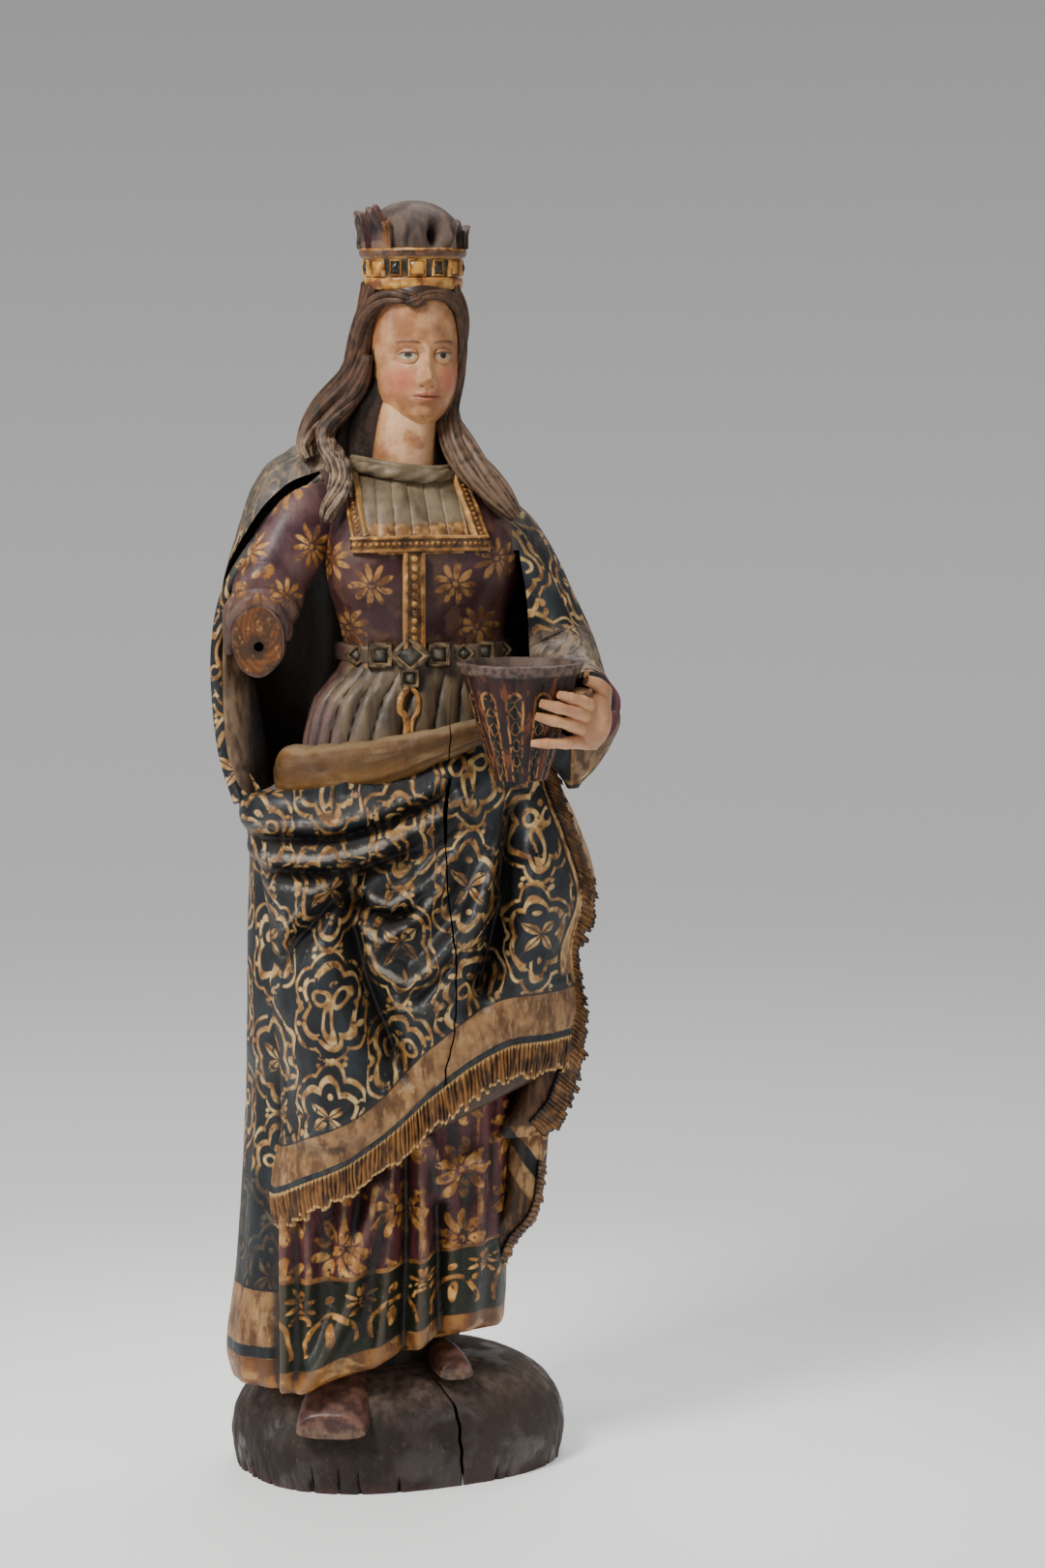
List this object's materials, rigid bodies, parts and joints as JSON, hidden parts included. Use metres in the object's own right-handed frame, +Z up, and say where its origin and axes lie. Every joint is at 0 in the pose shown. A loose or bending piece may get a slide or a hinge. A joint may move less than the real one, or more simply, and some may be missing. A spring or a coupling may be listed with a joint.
{
  "type": "carved wooden figure",
  "caption": "Standing crowned woman carved from one block on a rounded mound, painted and gilded, with draped mantle and a hollow fluted cup held in the left hand.",
  "frame": {"origin": "on the ground, on the flat underside of the mound, below the middle of the block", "axes": "+Z up, -Y the way the figure faces, +X towards the figure's left hand"},
  "size_m": [0.376, 0.365, 1.2],
  "materials": {
    "painted_wood": "old oil paint and worn gilding on carved wood, half matt",
    "hand_and_cup": "flesh-coloured and dark red old paint on carved wood"
  },
  "bodies": {
    "root": {"carved_figure": "painted_wood", "left_hand_with_cup": "hand_and_cup"}
  },
  "joints": []
}
